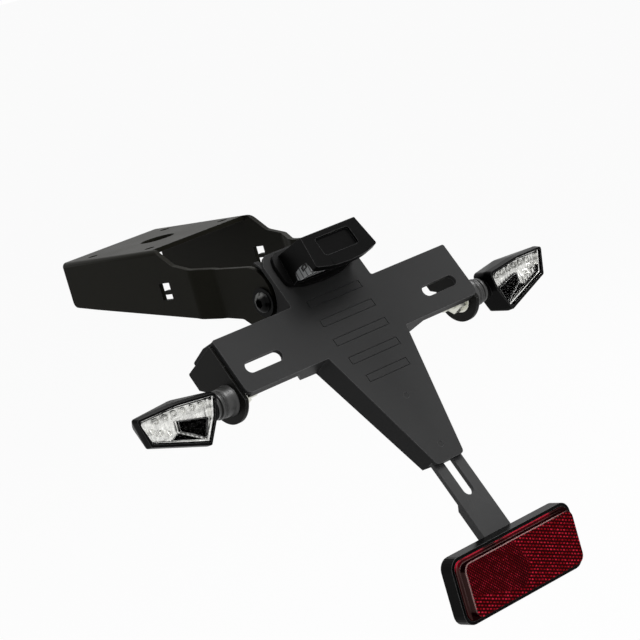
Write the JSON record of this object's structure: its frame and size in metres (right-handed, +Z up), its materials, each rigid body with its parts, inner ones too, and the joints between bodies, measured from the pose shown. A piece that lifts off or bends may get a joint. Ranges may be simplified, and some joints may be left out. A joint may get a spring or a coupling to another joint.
{
  "type": "tail tidy",
  "caption": "Motorcycle tail tidy: folded bracket, tilting number plate holder with indicators, plate light and a sliding reflector strip.",
  "frame": {"origin": "centre of the four tail bolts on the top face of the bracket web", "axes": "+X to the right, +Y forward along the motorcycle, +Z up, away from the web"},
  "size_m": [0.3324, 0.298, 0.2359],
  "materials": {
    "bracket_coat": "satin black powder coat on folded steel",
    "flange_coat": "satin black powder coat",
    "black_screw": "blackened steel",
    "zinc": "zinc plated",
    "holder_plastic": "fine grained dark grey moulding",
    "gasket_rubber": "black rubber",
    "lamp_plastic": "satin black moulding",
    "clear_plastic": "clear polycarbonate",
    "board": "circuit board with white lamps",
    "stem_rubber": "black rubber",
    "signal_plastic": "gloss black moulding",
    "bright_tray": "bright metallised plastic",
    "shade_plastic": "gloss black",
    "strip_coat": "satin dark grey coat on steel",
    "base_plastic": "gloss black moulding",
    "red_lens": "transparent red prismatic plastic"
  },
  "bodies": {
    "bracket": {"mounting_bracket": "bracket_coat", "pivot_screws": "black_screw", "pivot_nuts": "zinc"},
    "holder": {"plate_holder": "holder_plastic", "lamp_gasket": "gasket_rubber", "lamp_housing": "lamp_plastic", "lamp_lens": "clear_plastic", "lamp_board": "board", "lamp_nuts": "zinc", "signal_bracket_left": "flange_coat", "signal_bracket_right": "flange_coat", "signal_bracket_screws": "black_screw", "signal_studs": "zinc", "signal_washers": "zinc", "signal_nuts": "zinc", "stem_left": "stem_rubber", "signal_housing_left": "signal_plastic", "signal_lens_left": "clear_plastic", "signal_tray_left": "bright_tray", "signal_shade_left": "shade_plastic", "stem_right": "stem_rubber", "signal_housing_right": "signal_plastic", "signal_lens_right": "clear_plastic", "signal_tray_right": "bright_tray", "signal_shade_right": "shade_plastic", "strip_screws": "zinc", "strip_washers": "zinc"},
    "reflector": {"reflector_strip": "strip_coat", "reflector_base": "base_plastic", "reflector_lens": "red_lens", "reflector_nut": "zinc"}
  },
  "joints": [
    {"name": "holder_tilt", "type": "hinge", "parent": "bracket", "child": "holder", "pos_m": [0, -0.1274, -0.0409], "axis": [1, 0, 0], "range_deg": [-12, 12]},
    {"name": "reflector_slide", "type": "slide", "parent": "holder", "child": "reflector", "axis": [0, 0.5, 0.866], "range_m": [0, 0.024]}
  ]
}
